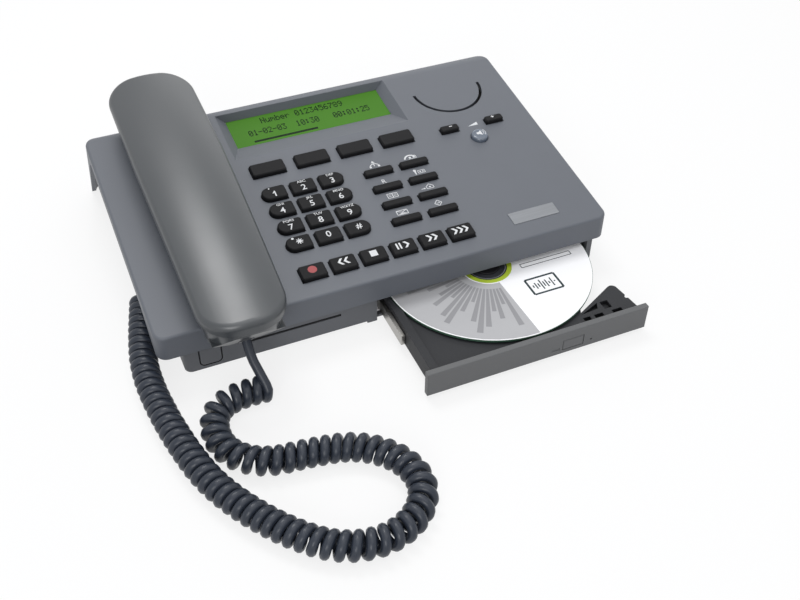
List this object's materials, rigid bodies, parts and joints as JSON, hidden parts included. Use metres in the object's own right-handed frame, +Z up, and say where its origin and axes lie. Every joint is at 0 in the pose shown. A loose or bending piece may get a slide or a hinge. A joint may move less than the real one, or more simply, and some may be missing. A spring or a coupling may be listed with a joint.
{
  "type": "answering machine telephone",
  "caption": "Desk telephone that records calls on an optical disc: handset on a cradle, display, rubber keys, sliding disc tray and curly handset cord.",
  "frame": {"origin": "middle of the housing's footprint, on the table", "axes": "+X to the user's right, +Y away from the user to the sockets, +Z up"},
  "size_m": [0.2772, 0.3364, 0.083],
  "materials": {
    "housing": "fine moulded grain, bluish grey",
    "handset_plastic": "satin moulded plastic, bluish grey",
    "key_rubber": "near black silicone with white printed legends",
    "key_clear": "translucent blue-white key with a lamp below",
    "display": "green backlit liquid crystal behind a clear window",
    "badge_metal": "bare satin metal plate",
    "bezel_plastic": "grey moulded plastic",
    "tray_plastic": "dark moulded plastic",
    "rail_metal": "folded sheet metal",
    "drive_metal": "sheet-metal case",
    "motor_metal": "turned metal",
    "hub_plastic": "dark hub",
    "disc_surface": "printed disc",
    "cord_vinyl": "dark blue-grey flexible vinyl",
    "plug_clear": "moulded plug",
    "board_green": "printed circuit board",
    "speaker_black": "paper cone and steel basket",
    "screw_steel": "zinc plated steel",
    "foot_rubber": "soft rubber",
    "socket_black": "moulded socket block"
  },
  "bodies": {
    "root": {"top_cover": "housing", "base_housing": "bezel_plastic", "display_panel": "display", "badge_plate": "badge_metal", "loudspeaker": "speaker_black", "main_board": "board_green", "drive_frame": "drive_metal", "housing_screws": "screw_steel", "rubber_feet": "foot_rubber", "base_cord_plug": "plug_clear", "handset_cord": "cord_vinyl", "rear_sockets": "socket_black"},
    "hook": {"hook_plunger": "bezel_plastic"},
    "handset": {"handset_upper_shell": "handset_plastic", "handset_lower_shell": "handset_plastic", "handset_earpiece": "speaker_black", "handset_microphone": "motor_metal", "handset_cord_plug": "plug_clear"},
    "tray": {"drive_tray": "tray_plastic", "drive_bezel": "bezel_plastic", "spindle_motor": "motor_metal"},
    "spindle": {"optical_disc": "disc_surface", "spindle_hub": "hub_plastic"},
    "rail": {"tray_rail": "rail_metal"},
    "eject": {"eject_button": "bezel_plastic"},
    "sled": {"pickup_sled": "hub_plastic"},
    "flap": {"port_flap": "bezel_plastic"},
    "key_star_body": {"key_star": "key_rubber"},
    "key_0_body": {"key_0": "key_rubber"},
    "key_hash_body": {"key_hash": "key_rubber"},
    "key_7_body": {"key_7": "key_rubber"},
    "key_8_body": {"key_8": "key_rubber"},
    "key_9_body": {"key_9": "key_rubber"},
    "key_4_body": {"key_4": "key_rubber"},
    "key_5_body": {"key_5": "key_rubber"},
    "key_6_body": {"key_6": "key_rubber"},
    "key_1_body": {"key_1": "key_rubber"},
    "key_2_body": {"key_2": "key_rubber"},
    "key_3_body": {"key_3": "key_rubber"},
    "key_record_body": {"key_record": "key_rubber"},
    "key_back_body": {"key_back": "key_rubber"},
    "key_stop_body": {"key_stop": "key_rubber"},
    "key_play_body": {"key_play": "key_rubber"},
    "key_forward_body": {"key_forward": "key_rubber"},
    "key_skip_body": {"key_skip": "key_rubber"},
    "soft_key_1_body": {"soft_key_1": "key_rubber"},
    "soft_key_2_body": {"soft_key_2": "key_rubber"},
    "soft_key_3_body": {"soft_key_3": "key_rubber"},
    "soft_key_4_body": {"soft_key_4": "key_rubber"},
    "function_key_1_body": {"function_key_1": "key_rubber"},
    "function_key_2_body": {"function_key_2": "key_rubber"},
    "function_key_3_body": {"function_key_3": "key_rubber"},
    "function_key_4_body": {"function_key_4": "key_rubber"},
    "function_key_5_body": {"function_key_5": "key_rubber"},
    "function_key_6_body": {"function_key_6": "key_rubber"},
    "function_key_7_body": {"function_key_7": "key_rubber"},
    "function_key_8_body": {"function_key_8": "key_rubber"},
    "volume_down_key_body": {"volume_down_key": "key_rubber"},
    "volume_up_key_body": {"volume_up_key": "key_rubber"},
    "speaker_key_body": {"speaker_key": "key_clear"}
  },
  "joints": [
    {"name": "handset_lift", "type": "slide", "parent": "root", "child": "handset", "axis": [0, 0, 1], "range_m": [0, 0.1]},
    {"name": "hook_rise", "type": "slide", "parent": "root", "child": "hook", "axis": [0, -0.1276, 0.9918], "range_m": [0, 0.004]},
    {"name": "tray_slide", "type": "slide", "parent": "root", "child": "tray", "axis": [0, -1, 0], "range_m": [-0.065, 0.06]},
    {"name": "rail_slide", "type": "slide", "parent": "root", "child": "rail", "axis": [0, -1, 0], "range_m": [-0.0326, 0.0301]},
    {"name": "disc_spin", "type": "hinge", "parent": "tray", "child": "spindle", "pos_m": [0.0574, -0.09115, 0.0144], "axis": [0, 0, 1], "continuous": true},
    {"name": "eject_press", "type": "slide", "parent": "tray", "child": "eject", "axis": [0, 1, 0], "range_m": [0, 0.0008], "stiffness_N_per_m": 600, "springref_m": -0.0005},
    {"name": "sled_travel", "type": "slide", "parent": "tray", "child": "sled", "axis": [0, -1, 0], "range_m": [-0.009, 0.009]},
    {"name": "flap_hinge", "type": "hinge", "parent": "root", "child": "flap", "pos_m": [-0.1044, -0.092, 0.0145], "axis": [-1, 0, 0], "range_deg": [0, 90]},
    {"name": "key_star_press", "type": "slide", "parent": "root", "child": "key_star_body", "axis": [0, 0.1276, -0.9918], "range_m": [0, 0.0015], "stiffness_N_per_m": 600, "springref_m": -0.0005},
    {"name": "key_0_press", "type": "slide", "parent": "root", "child": "key_0_body", "axis": [0, 0.1276, -0.9918], "range_m": [0, 0.0015], "stiffness_N_per_m": 600, "springref_m": -0.0005},
    {"name": "key_hash_press", "type": "slide", "parent": "root", "child": "key_hash_body", "axis": [0, 0.1276, -0.9918], "range_m": [0, 0.0015], "stiffness_N_per_m": 600, "springref_m": -0.0005},
    {"name": "key_7_press", "type": "slide", "parent": "root", "child": "key_7_body", "axis": [0, 0.1276, -0.9918], "range_m": [0, 0.0015], "stiffness_N_per_m": 600, "springref_m": -0.0005},
    {"name": "key_8_press", "type": "slide", "parent": "root", "child": "key_8_body", "axis": [0, 0.1276, -0.9918], "range_m": [0, 0.0015], "stiffness_N_per_m": 600, "springref_m": -0.0005},
    {"name": "key_9_press", "type": "slide", "parent": "root", "child": "key_9_body", "axis": [0, 0.1276, -0.9918], "range_m": [0, 0.0015], "stiffness_N_per_m": 600, "springref_m": -0.0005},
    {"name": "key_4_press", "type": "slide", "parent": "root", "child": "key_4_body", "axis": [0, 0.1276, -0.9918], "range_m": [0, 0.0015], "stiffness_N_per_m": 600, "springref_m": -0.0005},
    {"name": "key_5_press", "type": "slide", "parent": "root", "child": "key_5_body", "axis": [0, 0.1276, -0.9918], "range_m": [0, 0.0015], "stiffness_N_per_m": 600, "springref_m": -0.0005},
    {"name": "key_6_press", "type": "slide", "parent": "root", "child": "key_6_body", "axis": [0, 0.1276, -0.9918], "range_m": [0, 0.0015], "stiffness_N_per_m": 600, "springref_m": -0.0005},
    {"name": "key_1_press", "type": "slide", "parent": "root", "child": "key_1_body", "axis": [0, 0.1276, -0.9918], "range_m": [0, 0.0015], "stiffness_N_per_m": 600, "springref_m": -0.0005},
    {"name": "key_2_press", "type": "slide", "parent": "root", "child": "key_2_body", "axis": [0, 0.1276, -0.9918], "range_m": [0, 0.0015], "stiffness_N_per_m": 600, "springref_m": -0.0005},
    {"name": "key_3_press", "type": "slide", "parent": "root", "child": "key_3_body", "axis": [0, 0.1276, -0.9918], "range_m": [0, 0.0015], "stiffness_N_per_m": 600, "springref_m": -0.0005},
    {"name": "key_record_press", "type": "slide", "parent": "root", "child": "key_record_body", "axis": [0, 0.1276, -0.9918], "range_m": [0, 0.0015], "stiffness_N_per_m": 600, "springref_m": -0.0005},
    {"name": "key_back_press", "type": "slide", "parent": "root", "child": "key_back_body", "axis": [0, 0.1276, -0.9918], "range_m": [0, 0.0015], "stiffness_N_per_m": 600, "springref_m": -0.0005},
    {"name": "key_stop_press", "type": "slide", "parent": "root", "child": "key_stop_body", "axis": [0, 0.1276, -0.9918], "range_m": [0, 0.0015], "stiffness_N_per_m": 600, "springref_m": -0.0005},
    {"name": "key_play_press", "type": "slide", "parent": "root", "child": "key_play_body", "axis": [0, 0.1276, -0.9918], "range_m": [0, 0.0015], "stiffness_N_per_m": 600, "springref_m": -0.0005},
    {"name": "key_forward_press", "type": "slide", "parent": "root", "child": "key_forward_body", "axis": [0, 0.1276, -0.9918], "range_m": [0, 0.0015], "stiffness_N_per_m": 600, "springref_m": -0.0005},
    {"name": "key_skip_press", "type": "slide", "parent": "root", "child": "key_skip_body", "axis": [0, 0.1276, -0.9918], "range_m": [0, 0.0015], "stiffness_N_per_m": 600, "springref_m": -0.0005},
    {"name": "soft_key_1_press", "type": "slide", "parent": "root", "child": "soft_key_1_body", "axis": [0, 0.1276, -0.9918], "range_m": [0, 0.0015], "stiffness_N_per_m": 600, "springref_m": -0.0005},
    {"name": "soft_key_2_press", "type": "slide", "parent": "root", "child": "soft_key_2_body", "axis": [0, 0.1276, -0.9918], "range_m": [0, 0.0015], "stiffness_N_per_m": 600, "springref_m": -0.0005},
    {"name": "soft_key_3_press", "type": "slide", "parent": "root", "child": "soft_key_3_body", "axis": [0, 0.1276, -0.9918], "range_m": [0, 0.0015], "stiffness_N_per_m": 600, "springref_m": -0.0005},
    {"name": "soft_key_4_press", "type": "slide", "parent": "root", "child": "soft_key_4_body", "axis": [0, 0.1276, -0.9918], "range_m": [0, 0.0015], "stiffness_N_per_m": 600, "springref_m": -0.0005},
    {"name": "function_key_1_press", "type": "slide", "parent": "root", "child": "function_key_1_body", "axis": [0, 0.1276, -0.9918], "range_m": [0, 0.0015], "stiffness_N_per_m": 600, "springref_m": -0.0005},
    {"name": "function_key_2_press", "type": "slide", "parent": "root", "child": "function_key_2_body", "axis": [0, 0.1276, -0.9918], "range_m": [0, 0.0015], "stiffness_N_per_m": 600, "springref_m": -0.0005},
    {"name": "function_key_3_press", "type": "slide", "parent": "root", "child": "function_key_3_body", "axis": [0, 0.1276, -0.9918], "range_m": [0, 0.0015], "stiffness_N_per_m": 600, "springref_m": -0.0005},
    {"name": "function_key_4_press", "type": "slide", "parent": "root", "child": "function_key_4_body", "axis": [0, 0.1276, -0.9918], "range_m": [0, 0.0015], "stiffness_N_per_m": 600, "springref_m": -0.0005},
    {"name": "function_key_5_press", "type": "slide", "parent": "root", "child": "function_key_5_body", "axis": [0, 0.1276, -0.9918], "range_m": [0, 0.0015], "stiffness_N_per_m": 600, "springref_m": -0.0005},
    {"name": "function_key_6_press", "type": "slide", "parent": "root", "child": "function_key_6_body", "axis": [0, 0.1276, -0.9918], "range_m": [0, 0.0015], "stiffness_N_per_m": 600, "springref_m": -0.0005},
    {"name": "function_key_7_press", "type": "slide", "parent": "root", "child": "function_key_7_body", "axis": [0, 0.1276, -0.9918], "range_m": [0, 0.0015], "stiffness_N_per_m": 600, "springref_m": -0.0005},
    {"name": "function_key_8_press", "type": "slide", "parent": "root", "child": "function_key_8_body", "axis": [0, 0.1276, -0.9918], "range_m": [0, 0.0015], "stiffness_N_per_m": 600, "springref_m": -0.0005},
    {"name": "volume_down_key_press", "type": "slide", "parent": "root", "child": "volume_down_key_body", "axis": [0, 0.1276, -0.9918], "range_m": [0, 0.0015], "stiffness_N_per_m": 600, "springref_m": -0.0005},
    {"name": "volume_up_key_press", "type": "slide", "parent": "root", "child": "volume_up_key_body", "axis": [0, 0.1276, -0.9918], "range_m": [0, 0.0015], "stiffness_N_per_m": 600, "springref_m": -0.0005},
    {"name": "speaker_key_press", "type": "slide", "parent": "root", "child": "speaker_key_body", "axis": [0, 0.1276, -0.9918], "range_m": [0, 0.0015], "stiffness_N_per_m": 600, "springref_m": -0.0005}
  ],
  "couplings": [
    {"joint": "hook_rise", "follows": "handset_lift", "ratio": 0.04},
    {"joint": "rail_slide", "follows": "tray_slide", "ratio": 0.5}
  ]
}
